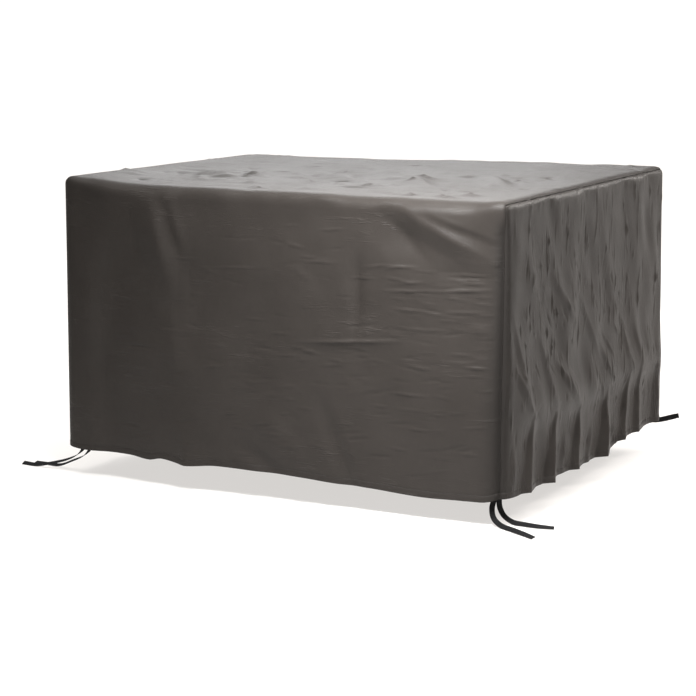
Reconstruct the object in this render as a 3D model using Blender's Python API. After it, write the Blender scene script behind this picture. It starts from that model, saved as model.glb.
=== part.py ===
"""Fitted cover for a garden table and its chairs: three panels of coated cloth and four corner ties.

Metres, +Z up. The origin is on the underside of the top, at its middle, where the furniture
carries the cover. +X runs along the long side and the front faces -Y.
"""
import math
from collections import namedtuple

import bpy
from mathutils import Vector

# ---------------------------------------------------------------- driving dimensions
LENGTH = 1.680            # outside, along X
DEPTH = 1.400             # outside, along Y
CLOTH = 0.002             # thickness of the coated cloth with its crinkle
TOP_RADIUS = 0.042        # soft round of the long top edges
END_RADIUS = 0.026        # tighter where the end seams hold them
SEAM_GAP = 0.0004         # space left between two sewn panels
GROUND = -1.045           # the ground, about 90 mm below the hem
SEAM_CALM = 0.070         # folds die out this close to a seam

TAPE_WIDTH = 0.018
TAPE_THICK = 0.0014

HALF_X = LENGTH / 2 - CLOTH
HALF_Y = DEPTH / 2 - CLOTH

# ---------------------------------------------------------------- tables
# How far the hem hangs below the top, along each side (place on the side, height).
FRONT_HEM = (
    (-0.84, -0.943), (-0.77, -0.950), (-0.58, -0.949), (-0.50, -0.956), (-0.45, -0.946),
    (-0.35, -0.957), (-0.22, -0.948), (0.00, -0.950), (0.30, -0.960), (0.58, -0.971),
    (0.75, -0.967), (0.84, -0.954),
)
RIGHT_HEM = (
    (-0.70, -0.954), (-0.45, -0.954), (-0.10, -0.956), (0.10, -0.957), (0.20, -0.949),
    (0.30, -0.933), (0.50, -0.926), (0.70, -0.926),
)
BACK_HEM = ((-0.84, -0.940), (-0.40, -0.952), (0.10, -0.944), (0.50, -0.934), (0.84, -0.924))
LEFT_HEM = ((-0.70, -0.943), (-0.30, -0.948), (0.20, -0.944), (0.70, -0.940))

# The four upright seams: where, how round the cloth turns at the hem, how high its top corner sits,
# how far the hem leans there, over what level length beside the seam and along what slope after it.
Corner = namedtuple("Corner", "name x y hem_radius lift lean_x lean_y flat slope")
CORNERS = (
    Corner("front_left", -1, -1, 0.035, -0.002, -0.024, 0.026, 0.17, 0.27),
    Corner("front_right", 1, -1, 0.075, 0.000, 0.000, 0.000, 0.10, 0.30),
    Corner("back_right", 1, 1, 0.035, 0.006, 0.008, 0.004, 0.05, 0.40),
    Corner("back_left", -1, 1, 0.050, -0.004, -0.006, -0.004, 0.05, 0.40),
)

LEFT_RISE = 0.013         # the left top edge stands up, most at its front
FRONT_SAG = 0.005         # the front top edge sags between its ends
BACK_SAG = 0.016          # the cloth sags along the back edge, towards the left

# One row for each main fold. A fold runs from start to end on its side of the cover; left and
# right are its half widths at those two ends, rise is how far it stands out of the plane at its
# start, middle and end (below zero for a trough).
Fold = namedtuple("Fold", "name start end left right rise")
FRONT_FOLDS = (
    Fold("wide_trough", (-0.68, -0.06), (-0.63, -1.00), (0.15, 0.16), (0.25, 0.27), (0.0, -0.009, -0.011)),
    Fold("lam_ridge", (-0.485, -0.01), (-0.375, -0.42), (0.10, 0.13), (0.06, 0.07), (0.008, 0.018, 0.0)),
    Fold("lam_ridge_low", (-0.41, -0.28), (-0.36, -0.80), (0.10, 0.14), (0.10, 0.12), (0.0, 0.009, 0.0)),
    Fold("foot_ridge", (-0.36, -0.74), (-0.34, -1.00), (0.05, 0.05), (0.08, 0.10), (0.0, 0.005, 0.010)),
    Fold("middle_trough", (0.31, -0.08), (0.31, -0.56), (0.05, 0.05), (0.05, 0.05), (0.0, -0.007, 0.0)),
    Fold("pull_ridge", (0.45, -0.02), (0.81, -0.20), (0.06, 0.06), (0.06, 0.06), (0.006, 0.016, 0.008)),
    Fold("pull_valley", (0.37, -0.02), (0.60, -0.235), (0.10, 0.10), (0.06, 0.06), (-0.004, -0.013, 0.0)),
    Fold("knee", (0.02, -0.50), (0.52, -0.46), (0.05, 0.05), (0.09, 0.09), (0.0, 0.006, 0.0)),
    Fold("low_slant", (0.14, -0.62), (0.31, -1.00), (0.05, 0.06), (0.05, 0.06), (0.0, -0.010, -0.007)),
    Fold("low_swell", (-0.10, -0.70), (0.16, -0.96), (0.10, 0.10), (0.06, 0.06), (0.0, 0.008, 0.0)),
    Fold("hem_scoop", (-0.18, -0.84), (0.08, -0.99), (0.05, 0.05), (0.05, 0.05), (0.0, -0.009, 0.0)),
)
RIGHT_FOLDS = (
    Fold("bulge", (-0.66, -0.70), (0.68, -0.68), (0.10, 0.10), (0.14, 0.14), (0.006, 0.012, 0.012)),
    Fold("pleat_1", (-0.48, -0.69), (-0.55, -1.00), (0.03, 0.06), (0.05, 0.10), (0.002, 0.016, 0.026)),
    Fold("pleat_2", (-0.285, -0.71), (-0.38, -1.00), (0.03, 0.07), (0.05, 0.12), (0.002, 0.022, 0.034)),
    Fold("pleat_3", (-0.09, -0.73), (-0.14, -1.00), (0.03, 0.07), (0.05, 0.10), (0.002, 0.018, 0.028)),
    Fold("pleat_4", (0.165, -0.73), (0.10, -1.00), (0.03, 0.09), (0.05, 0.12), (0.002, 0.024, 0.034)),
    Fold("pleat_5", (0.365, -0.68), (0.28, -1.00), (0.03, 0.06), (0.04, 0.08), (0.002, 0.016, 0.024)),
    Fold("pleat_6", (0.46, -0.67), (0.42, -1.00), (0.03, 0.06), (0.05, 0.10), (0.002, 0.014, 0.022)),
    Fold("pleat_7", (0.64, -0.69), (0.62, -1.00), (0.03, 0.08), (0.04, 0.06), (0.004, 0.014, 0.020)),
    Fold("slant_1", (-0.33, -0.52), (-0.09, -0.75), (0.04, 0.04), (0.05, 0.06), (0.0, 0.009, 0.004)),
    Fold("slant_2", (-0.66, -0.49), (-0.48, -0.72), (0.04, 0.04), (0.06, 0.07), (0.0, 0.010, 0.004)),
    Fold("slant_3", (-0.14, -0.30), (0.16, -0.70), (0.04, 0.04), (0.06, 0.07), (0.0, 0.006, 0.0)),
)
BACK_FOLDS = (
    Fold("trough_1", (-0.55, -0.20), (-0.50, -1.00), (0.10, 0.12), (0.10, 0.12), (0.0, -0.010, -0.018)),
    Fold("ridge_1", (-0.20, -0.30), (-0.24, -1.00), (0.08, 0.10), (0.08, 0.10), (0.0, 0.008, 0.014)),
    Fold("trough_2", (0.16, -0.25), (0.12, -1.00), (0.09, 0.11), (0.09, 0.11), (0.0, -0.009, -0.016)),
    Fold("ridge_2", (0.52, -0.30), (0.50, -1.00), (0.08, 0.10), (0.08, 0.10), (0.0, 0.007, 0.013)),
)
LEFT_FOLDS = (
    Fold("bulge", (-0.62, -0.70), (0.62, -0.68), (0.09, 0.09), (0.10, 0.10), (0.006, 0.009, 0.006)),
    Fold("pleat_1", (-0.36, -0.70), (-0.40, -1.00), (0.04, 0.10), (0.05, 0.09), (0.0, 0.014, 0.022)),
    Fold("pleat_2", (0.00, -0.70), (-0.03, -1.00), (0.04, 0.10), (0.05, 0.09), (0.0, 0.016, 0.024)),
    Fold("pleat_3", (0.36, -0.70), (0.38, -1.00), (0.04, 0.10), (0.05, 0.09), (0.0, 0.014, 0.022)),
)
TOP_FOLDS = (
    Fold("buckle_1", (-0.66, -0.10), (-0.25, -0.46), (0.08, 0.08), (0.05, 0.05), (0.0, 0.012, 0.0)),
    Fold("buckle_2", (-0.18, -0.06), (0.22, -0.40), (0.08, 0.08), (0.05, 0.05), (0.0, 0.012, 0.0)),
    Fold("buckle_3", (0.16, -0.02), (0.46, -0.46), (0.08, 0.08), (0.05, 0.05), (0.0, 0.012, 0.0)),
    Fold("buckle_4", (0.40, 0.10), (0.68, -0.32), (0.08, 0.08), (0.05, 0.05), (0.0, 0.011, 0.0)),
    Fold("buckle_5", (-0.66, 0.54), (-0.26, 0.22), (0.10, 0.10), (0.05, 0.05), (0.0, 0.007, 0.0)),
    Fold("buckle_6", (0.00, 0.56), (0.40, 0.26), (0.10, 0.10), (0.05, 0.05), (0.0, 0.006, 0.0)),
)

# The corner ties: one tape for each corner, sewn inside the hem at its middle, so two tails hang
# from it. Each row of a route is a point of the tape's middle line and the way its width points.
Tie = namedtuple("Tie", "name route")
REST = GROUND + TAPE_THICK
TIES = (
    Tie("tie_front_right_a", (
        (0.797, -0.667, -0.925, 0.88, 0.47, 0.0), (0.791, -0.669, -0.955, 0.88, 0.47, 0.0),
        (0.785, -0.672, -0.988, 0.85, 0.52, 0.1), (0.793, -0.675, -1.018, 0.66, 0.60, 0.45),
        (0.824, -0.688, REST + 0.008, 0.38, 0.62, 0.70), (0.877, -0.718, REST + 0.007, 0.38, 0.66, 0.66),
        (0.926, -0.745, REST + 0.006, 0.42, 0.74, 0.52), (0.972, -0.769, REST + 0.003, 0.45, 0.85, 0.28))),
    Tie("tie_front_right_b", (
        (0.802, -0.650, -0.925, 0.88, 0.47, 0.0), (0.799, -0.648, -0.955, 0.88, 0.47, 0.0),
        (0.799, -0.642, -0.988, 0.82, 0.56, 0.1), (0.811, -0.632, -1.018, 0.45, 0.76, 0.45),
        (0.840, -0.628, REST + 0.008, 0.00, 0.72, 0.70), (0.882, -0.634, REST + 0.007, 0.08, 0.74, 0.66),
        (0.930, -0.634, REST + 0.006, -0.05, 0.84, 0.52), (0.979, -0.618, REST + 0.003, -0.20, 0.94, 0.28))),
    Tie("tie_front_left_a", (
        (-0.790, -0.662, -0.922, 0.70, 0.70, 0.0), (-0.799, -0.658, -0.948, 0.55, 0.80, 0.2),
        (-0.832, -0.649, -0.978, 0.30, 0.90, 0.35), (-0.886, -0.638, -1.003, 0.10, 0.90, 0.42),
        (-0.952, -0.630, -1.023, 0.05, 0.90, 0.42), (-1.022, -0.626, REST + 0.005, 0.0, 0.88, 0.48),
        (-1.090, -0.622, REST + 0.005, 0.0, 0.85, 0.52))),
    Tie("tie_front_left_b", (
        (-0.776, -0.640, -0.922, 0.70, 0.70, 0.0), (-0.786, -0.634, -0.952, 0.55, 0.80, 0.2),
        (-0.824, -0.621, -0.986, 0.30, 0.90, 0.35), (-0.884, -0.608, -1.013, 0.10, 0.90, 0.42),
        (-0.945, -0.598, REST + 0.007, 0.05, 0.92, 0.38), (-1.005, -0.590, REST + 0.004, 0.05, 0.95, 0.30),
        (-1.062, -0.584, REST + 0.003, 0.05, 0.97, 0.25))),
    Tie("tie_back_right_a", (
        (0.790, 0.640, -0.905, 0.20, -0.10, 1.0), (0.806, 0.660, -0.924, 0.20, 0.0, 1.0),
        (0.826, 0.684, -0.934, 0.10, 0.0, 1.0), (0.850, 0.710, -0.933, 0.0, 0.0, 1.0),
        (0.876, 0.733, -0.927, 0.0, 0.0, 1.0), (0.898, 0.750, -0.921, 0.0, 0.0, 1.0))),
    Tie("tie_back_right_b", (
        (0.780, 0.650, -0.905, 0.20, -0.10, 1.0), (0.796, 0.670, -0.925, 0.20, 0.0, 1.0),
        (0.816, 0.694, -0.936, 0.10, 0.0, 1.0), (0.838, 0.720, -0.936, 0.0, 0.0, 1.0),
        (0.862, 0.743, -0.931, 0.0, 0.0, 1.0), (0.882, 0.760, -0.926, 0.0, 0.0, 1.0))),
    Tie("tie_back_left_a", (
        (-0.790, 0.650, -0.915, 0.75, 0.65, 0.0), (-0.796, 0.660, -0.948, 0.75, 0.65, 0.0),
        (-0.808, 0.676, -0.984, 0.78, 0.60, 0.1), (-0.826, 0.699, -1.015, 0.80, 0.55, 0.2),
        (-0.850, 0.729, REST + 0.006, 0.78, 0.58, 0.30), (-0.880, 0.764, REST + 0.004, 0.78, 0.60, 0.25),
        (-0.908, 0.798, REST + 0.002, 0.78, 0.62, 0.15))),
    Tie("tie_back_left_b", (
        (-0.776, 0.652, -0.915, 0.75, 0.65, 0.0), (-0.778, 0.663, -0.948, 0.80, 0.60, 0.0),
        (-0.784, 0.684, -0.986, 0.92, 0.35, 0.1), (-0.790, 0.711, -1.017, 0.97, 0.20, 0.2),
        (-0.797, 0.745, REST + 0.006, 0.96, 0.15, 0.30), (-0.802, 0.786, REST + 0.004, 0.97, 0.12, 0.25),
        (-0.805, 0.828, REST + 0.002, 0.98, 0.10, 0.15))),
)

# ---------------------------------------------------------------- how finely the cloth is cut up
UPRIGHT_ROWS = 12         # rows of facets down every side
TOP_ROWS = 13             # rows of facets across the top, between its rounded edges
LONG_COLUMNS = 28         # facets along the front, between its rounded corners
RIGHT_COLUMNS = 24
LEFT_COLUMNS = 14
TAPE_STEP = 0.016         # length of tape between two cross sections


def smooth(t):
    """Ease from 0 to 1."""
    t = max(0.0, min(1.0, t))
    return t * t * (3 - 2 * t)


def along(table, place):
    """Read a two column table at a place, easing between its rows."""
    for (a, low), (b, high) in zip(table, table[1:]):
        if place <= b:
            return low + (high - low) * smooth((place - a) / (b - a))
    return table[-1][1]


def fold_height(folds, u, v):
    """How far the folds of one side push the cloth outwards at a place on it."""
    total = 0.0
    for fold in folds:
        du = fold.end[0] - fold.start[0]
        dv = fold.end[1] - fold.start[1]
        reach = math.hypot(du, dv)
        t = ((u - fold.start[0]) * du + (v - fold.start[1]) * dv) / reach ** 2
        if not 0.0 <= t <= 1.0:
            continue
        across = ((u - fold.start[0]) * dv - (v - fold.start[1]) * du) / reach
        widths = fold.left if across > 0 else fold.right
        width = widths[0] + (widths[1] - widths[0]) * t
        if abs(across) >= width:
            continue
        start, middle, end = fold.rise
        if t < 0.5:
            rise = start + (middle - start) * smooth(2 * t)
        else:
            rise = middle + (end - middle) * smooth(2 * t - 1)
        ends = smooth(t / 0.12) * (smooth((1 - t) / 0.12) if end == 0.0 else 1.0)
        total += rise * ends * 0.5 * (1 + math.cos(math.pi * across / width))
    return total


def corner_radius(x, y, z):
    """How round the cloth turns at the nearest upright seam, at this height."""
    top = END_RADIUS + (TOP_RADIUS - END_RADIUS) * smooth((HALF_X - abs(x)) / 0.15)
    for corner in CORNERS:
        if corner.x * x >= 0 and corner.y * y >= 0:
            down = smooth((-z - TOP_RADIUS) / 0.9)
            return top + (corner.hem_radius - top) * down
    return top


def corner_lean(x, y, z):
    """How far the cloth leans beside a corner: level near it, then a flat slope along the side."""
    shift = Vector((0.0, 0.0, 0.0))
    for corner in CORNERS:
        away_x = abs(x - corner.x * HALF_X)
        away_y = abs(y - corner.y * HALF_Y)
        share_x = max(0.0, min(1.0, 1 - (away_x - corner.flat) / corner.slope))
        share_y = max(0.0, min(1.0, 1 - (away_y - corner.flat) / corner.slope))
        shift += Vector((corner.lean_x, corner.lean_y, 0.0)) * share_x * share_y
    return shift * smooth(-z / 0.95)


def corner_lift(x, y):
    """Height of the top's corners, carried evenly across it."""
    total = 0.0
    for corner in CORNERS:
        share = (1 + corner.x * x / HALF_X) * (1 + corner.y * y / HALF_Y) / 4
        total += corner.lift * share
    total += LEFT_RISE * smooth((-0.58 - x) / 0.24) * (1 - y / HALF_Y) / 2
    total -= FRONT_SAG * smooth((-0.40 - y) / 0.25) * smooth((HALF_X - abs(x)) / 0.20)
    return total - BACK_SAG * smooth((y - 0.50) / 0.20) * smooth((0.45 - x) / 1.1)


def calm(place, half):
    """1 in the open cloth, 0 at the seams."""
    return smooth((half - abs(place)) / SEAM_CALM)


def drape(x, y, z, push):
    """Move a point of the sharp box on to the rounded cover and push it out by its folds."""
    radius = corner_radius(x, y, z)
    core = Vector((
        max(-HALF_X + radius, min(HALF_X - radius, x)),
        max(-HALF_Y + radius, min(HALF_Y - radius, y)),
        min(-radius if z > -0.1 else -TOP_RADIUS, z),
    ))
    away = (Vector((x, y, z)) - core).normalized()
    point = core + away * (radius + push)
    point.z += corner_lift(x, y) * (1 - smooth(-z / 0.5))
    return point + corner_lean(x, y, z)


def front_point(x, share):
    """Front panel: share 0 at the hem and 1 at the top edge."""
    z = along(FRONT_HEM, x) * (1 - share)
    push = fold_height(FRONT_FOLDS, x, z) * calm(x, HALF_X) * smooth(-z / 0.06)
    return drape(x, -HALF_Y, z, push)


def back_point(x, share):
    z = along(BACK_HEM, x) * (1 - share)
    push = fold_height(BACK_FOLDS, x, z) * calm(x, HALF_X) * smooth(-z / 0.06)
    return drape(x, HALF_Y, z, push)


def top_point(x, y):
    push = fold_height(TOP_FOLDS, x, y) * calm(x, HALF_X) * calm(y, HALF_Y)
    return drape(x, y, 0.0, push)


def end_point(side, y, share):
    """End panel: side is 1 on the right and -1 on the left."""
    hem = RIGHT_HEM if side > 0 else LEFT_HEM
    folds = RIGHT_FOLDS if side > 0 else LEFT_FOLDS
    z = min(along(hem, y) * (1 - share), -SEAM_GAP)
    push = fold_height(folds, y, z) * calm(y, HALF_Y) * smooth(-z / 0.06)
    return drape(side * HALF_X, y, z, push)


# ---------------------------------------------------------------- stations along the cloth
def stations(half, count, radius=END_RADIUS):
    """Places from one seam to the other: two facets round each corner and even ones between."""
    turn = radius * (1 - math.tan(math.pi / 8))
    inner = half - radius
    left = [-half + SEAM_GAP, -half + turn, -inner]
    middle = [-inner + 2 * inner * k / count for k in range(1, count)]
    return left + middle + [-value for value in reversed(left)]


def shares(drop):
    """Shares of the height from the hem to the top edge, with two facets round that edge."""
    edge = 1 - TOP_RADIUS / drop
    turn = 1 - TOP_RADIUS * (1 - math.tan(math.pi / 8)) / drop
    return [edge * k / UPRIGHT_ROWS for k in range(UPRIGHT_ROWS + 1)] + [turn, 1.0]


def finish(name, colour, roughness):
    """A Principled material for one kind of cloth."""
    material = bpy.data.materials.new(name)
    material.use_nodes = True
    shader = material.node_tree.nodes["Principled BSDF"]
    shader.inputs["Base Color"].default_value = (*colour, 1.0)
    shader.inputs["Roughness"].default_value = roughness
    shader.inputs["Metallic"].default_value = 0.0
    return material


def add_object(name, points, faces, material):
    mesh = bpy.data.meshes.new(name)
    mesh.from_pydata(points, [], faces)
    mesh.materials.append(material)
    mesh.shade_smooth()
    mesh.set_sharp_from_angle(angle=math.radians(50))
    thing = bpy.data.objects.new(name, mesh)
    bpy.context.scene.collection.objects.link(thing)
    return thing


def sheet(name, rows, material, flip=False):
    """A panel from its rows of points, given its thickness on the outside."""
    wide = len(rows[0])
    points = [point for row in rows for point in row]
    faces = []
    for r in range(len(rows) - 1):
        for c in range(wide - 1):
            a = r * wide + c
            face = (a, a + 1, a + 1 + wide, a + wide)
            faces.append(tuple(reversed(face)) if flip else face)
    panel = add_object(name, points, faces, material)
    wall = panel.modifiers.new("cloth", "SOLIDIFY")
    wall.thickness = CLOTH
    wall.offset = 1.0
    return panel


def curve_through(route, step):
    """Evenly spaced rows on a smooth curve through the rows of a route."""
    rows = [Vector(row) for row in route]
    padded = [2 * rows[0] - rows[1], *rows, 2 * rows[-1] - rows[-2]]
    fine = []
    for a, b, c, d in zip(padded, padded[1:], padded[2:], padded[3:]):
        for k in range(12):
            t = k / 12
            fine.append(0.5 * (2 * b + (c - a) * t + (2 * a - 5 * b + 4 * c - d) * t ** 2
                               + (3 * b - a - 3 * c + d) * t ** 3))
    fine.append(rows[-1])
    lengths = [0.0]
    for a, b in zip(fine, fine[1:]):
        lengths.append(lengths[-1] + math.dist(a[:3], b[:3]))
    count = max(4, round(lengths[-1] / step))
    even = []
    k = 0
    for n in range(count + 1):
        goal = lengths[-1] * n / count
        while k < len(fine) - 2 and lengths[k + 1] < goal:
            k += 1
        share = (goal - lengths[k]) / (lengths[k + 1] - lengths[k])
        even.append(fine[k].lerp(fine[k + 1], min(1.0, share)))
    return even


def tape(tie, material):
    """A flat tape along its route, closed at both ends."""
    route = curve_through(tie.route, TAPE_STEP)
    points = []
    faces = []
    for k, row in enumerate(route):
        before = route[max(0, k - 1)]
        after = route[min(len(route) - 1, k + 1)]
        middle = Vector(row[:3])
        run = Vector(after[:3]) - Vector(before[:3])
        face = run.cross(Vector(row[3:])).normalized()
        across = face.cross(run).normalized()
        for a, b in ((-1, -1), (1, -1), (1, 1), (-1, 1)):
            points.append(middle + across * a * TAPE_WIDTH / 2 + face * b * TAPE_THICK / 2)
        if k:
            base = 4 * (k - 1)
            for n in range(4):
                m = (n + 1) % 4
                faces.append((base + n, base + m, base + 4 + m, base + 4 + n))
    last = len(points) - 4
    faces.append((3, 2, 1, 0))
    faces.append((last, last + 1, last + 2, last + 3))
    return add_object(tie.name, points, faces, material)


# ---------------------------------------------------------------- build
for old in list(bpy.data.objects):
    bpy.data.objects.remove(old, do_unlink=True)

cover_cloth = finish("coated_cloth", (0.095, 0.088, 0.080), 0.55)
tape_cloth = finish("tie_tape", (0.012, 0.012, 0.013), 0.75)

columns = stations(HALF_X, LONG_COLUMNS)
front_rows = [[front_point(x, share) for x in columns] for share in shares(0.95)]
top_rows = [[top_point(x, y) for x in columns] for y in stations(HALF_Y, TOP_ROWS, TOP_RADIUS)[1:-1]]
back_rows = [[back_point(x, share) for x in columns] for share in reversed(shares(0.95))]
sheet("body_panel", front_rows + top_rows + back_rows, cover_cloth)

right_columns = stations(HALF_Y, RIGHT_COLUMNS)
right_rows = [[end_point(1, y, share) for y in right_columns] for share in shares(0.95)]
sheet("end_panel_right", right_rows, cover_cloth)

left_columns = stations(HALF_Y, LEFT_COLUMNS)
left_rows = [[end_point(-1, y, share) for y in left_columns] for share in shares(0.95)]
sheet("end_panel_left", left_rows, cover_cloth, flip=True)

for tie in TIES:
    tape(tie, tape_cloth)
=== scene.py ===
# %% [markdown]
# # A fitted cover for a garden table and its chairs
#
# The real thing is three panels of coated cloth sewn into a box with no bottom, pulled over a table
# with its chairs. Nothing holds the cloth flat, so its whole look is in how it hangs: long soft
# troughs down the front, slack diagonal pulls at the right, pleats under a bulge on the right end,
# and fine crinkles left by the bag it was packed in. This lesson cuts each panel as a flat grid, lays
# it over the furniture's box, and adds the folds from short tables, the large ones first.

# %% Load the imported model
import math
from collections import namedtuple

import bpy
import numpy as np
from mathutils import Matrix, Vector


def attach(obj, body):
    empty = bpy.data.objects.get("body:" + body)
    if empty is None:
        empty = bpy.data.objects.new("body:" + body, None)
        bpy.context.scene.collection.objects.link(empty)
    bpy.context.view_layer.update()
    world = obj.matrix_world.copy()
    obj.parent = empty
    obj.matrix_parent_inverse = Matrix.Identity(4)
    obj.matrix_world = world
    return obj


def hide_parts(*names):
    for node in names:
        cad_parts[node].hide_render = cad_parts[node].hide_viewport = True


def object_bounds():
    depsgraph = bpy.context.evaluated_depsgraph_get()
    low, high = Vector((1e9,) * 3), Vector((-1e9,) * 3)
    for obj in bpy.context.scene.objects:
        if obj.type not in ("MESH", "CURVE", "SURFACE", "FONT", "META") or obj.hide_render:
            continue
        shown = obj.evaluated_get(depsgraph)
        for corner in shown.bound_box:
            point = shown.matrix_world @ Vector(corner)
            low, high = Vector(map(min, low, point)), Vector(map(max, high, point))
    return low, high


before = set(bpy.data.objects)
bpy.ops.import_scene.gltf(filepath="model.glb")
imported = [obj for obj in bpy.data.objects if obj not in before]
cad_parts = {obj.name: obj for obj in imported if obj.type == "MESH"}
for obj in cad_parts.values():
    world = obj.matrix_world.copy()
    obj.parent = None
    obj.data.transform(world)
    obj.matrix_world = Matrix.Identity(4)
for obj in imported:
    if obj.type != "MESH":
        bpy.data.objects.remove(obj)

cad_low, cad_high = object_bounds()
print("packed box", [round(v, 3) for v in cad_low], [round(v, 3) for v in cad_high])

# %% [markdown]
# ## The camera
#
# The camera comes first, because it decides what is worth making finely. It stands about eight
# metres off, to the right of the front and 0.7 m above the cover's top, with a long lens, so the box
# keeps nearly parallel edges.

# %% Camera
CAMERA_PLACE = (3.751, -7.233, 0.738)
CAMERA_TILT = 80.49       # degrees up from straight down
CAMERA_TURN = 28.0        # degrees round from facing +Y
LENS = 119.0
SENSOR = 36.0


def added(name, operator, **given):
    """Run one of Blender's add operators with nothing selected, and name what it made."""
    bpy.ops.object.select_all(action="DESELECT")
    operator(**given)
    bpy.context.object.name = name
    return bpy.context.object


camera = added(
    "camera", bpy.ops.object.camera_add, location=CAMERA_PLACE,
    rotation=(math.radians(CAMERA_TILT), 0.0, math.radians(CAMERA_TURN)))
camera.data.sensor_width = SENSOR
camera.data.lens = LENS
bpy.context.scene.camera = camera
print("camera", camera.location[:], "lens", camera.data.lens)

# %% [markdown]
# ## Studio
#
# A plain pale floor that sweeps up behind the object, so no horizon shows. The sweep is a plane
# whose far edge is extruded upwards and the corner rounded with a bevel. The paper gives off a little
# warm light of its own, so that it comes out white.

# %% Floor and backdrop
FEET = -1.045             # the ground that the furniture stands on
FLOOR_GAP = 0.0004        # the floor lies this far below whatever is lowest
GROUND = min(FEET, cad_low.z) - FLOOR_GAP
STAGE_WIDE = 300.0
STAGE_TALL = 14.0
STAGE_ROUND = 6.0
STAGE_BACK = 150.0
PAPER_GLOW = (1.0, 0.97, 0.94, 1.0)


def plain_material(name, colour, roughness):
    material = bpy.data.materials.new(name)
    material.use_nodes = True
    shader = material.node_tree.nodes["Principled BSDF"]
    shader.inputs["Base Color"].default_value = (*colour, 1.0)
    shader.inputs["Roughness"].default_value = roughness
    return material


floor = added("studio_floor", bpy.ops.mesh.primitive_plane_add, size=STAGE_WIDE,
              location=(0, STAGE_BACK - STAGE_WIDE / 2, GROUND))
bpy.ops.object.mode_set(mode="EDIT")
bpy.ops.mesh.select_mode(type="EDGE")
bpy.ops.mesh.select_all(action="DESELECT")
bpy.ops.object.mode_set(mode="OBJECT")
for edge in floor.data.edges:
    ends = [floor.data.vertices[v].co.y for v in edge.vertices]
    edge.select = min(ends) > 0
bpy.ops.object.mode_set(mode="EDIT")
bpy.ops.mesh.extrude_region_move(TRANSFORM_OT_translate={"value": (0, 0, STAGE_TALL)})
bpy.ops.object.mode_set(mode="OBJECT")
for edge in floor.data.edges:
    ends = [floor.data.vertices[v].co for v in edge.vertices]
    edge.select = min(end.y for end in ends) > 0 and max(end.z for end in ends) < 1.0
bpy.ops.object.mode_set(mode="EDIT")
bpy.ops.mesh.bevel(offset=STAGE_ROUND, segments=24, affect="EDGES")
bpy.ops.object.mode_set(mode="OBJECT")
bpy.ops.object.shade_smooth()
floor.rotation_euler.z = math.radians(CAMERA_TURN)
paper = plain_material("studio_paper", (0.28, 0.275, 0.27), 0.9)
paper_shader = paper.node_tree.nodes["Principled BSDF"]
paper_shader.inputs["Emission Color"].default_value = PAPER_GLOW
paper_shader.inputs["Emission Strength"].default_value = 0.66
floor.data.materials.append(paper)
print("floor at", round(GROUND, 4))

# %% [markdown]
# ## Light
#
# Dark, slightly shiny cloth is shaped by what it mirrors. A wide light overhead lights the floor
# and the top. A small softbox hangs close above the front, so its folds are lit from the upper right, and
# one stands off the right end, a little behind it, so the pleats' front flanks go dark. A big
# one behind gives the pale gleam on the top. Two black flags, which the camera doesn't see, take the
# floor's bounce away: one from the front's left, and one from the pleats' front flanks.

# %% Softboxes and room
def softbox(name, place, aim, size, power):
    light = added(name, bpy.ops.object.light_add, type="AREA", location=place)
    light.data.shape = "SQUARE"
    light.data.size = size
    light.data.energy = power
    light.rotation_euler = (Vector(aim) - Vector(place)).to_track_quat("-Z", "Y").to_euler()
    return light


softbox("softbox_back", (-2.8, 5.2, 3.2), (0.0, 0.0, 0.0), 3.4, 155)
lamp_front = softbox("softbox_front", (0.68, -1.75, 1.35), (0.60, -0.7, -0.5), 0.6, 46)
lamp_front.data.spread = math.radians(88)
lamp_right = softbox("softbox_right", (2.6, 2.5, 1.2), (0.84, 0.0, -0.5), 1.0, 128)
lamp_right.data.color = (1.0, 0.955, 0.915)

overhead = added("overhead", bpy.ops.object.light_add, type="SUN", location=(0.0, 0.0, 4.0))
overhead.data.angle = math.radians(70)
overhead.data.energy = 4.4
overhead.data.color = (1.0, 0.97, 0.94)
overhead.rotation_euler = Vector((0.15, 0.10, 1.0)).to_track_quat("Z", "Y").to_euler()

FLAG_LIFT = 0.015         # the flags hang just clear of the floor
velvet = plain_material("flag_velvet", (0.004, 0.004, 0.004), 1.0)
for name, place, wide, tall in (
    ("black_flag_left", (-1.75, -3.1), 4.2, 1.25),
    ("black_flag_right", (3.0, 0.9), 3.0, 1.30),
):
    flag = added(name, bpy.ops.mesh.primitive_plane_add, size=1)
    flag.scale = (tall, wide, 1.0)
    flag.rotation_euler = (0.0, math.radians(90), 0.0)
    flag.location = (*place, GROUND + tall / 2 + FLAG_LIFT)
    flag.data.materials.append(velvet)
    flag.visible_camera = False

room = bpy.data.worlds.new("studio_room")
room.use_nodes = True
room.node_tree.nodes["Background"].inputs["Color"].default_value = (1.0, 1.0, 1.0, 1.0)
room.node_tree.nodes["Background"].inputs["Strength"].default_value = 0.20
bpy.context.scene.world = room
bpy.context.scene.view_settings.view_transform = "Standard"

# %% [markdown]
# ## The box under the cloth
#
# The furniture is left out, but the cloth still hangs on its shape: a box with soft top edges whose
# upright corners get rounder towards the hem, where nothing fills them. `drape` takes a point of
# the sharp box and moves it on to this rounded one. Its last argument pushes the cloth out along
# its own normal, and every fold in the lesson is a number handed to that argument.

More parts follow.
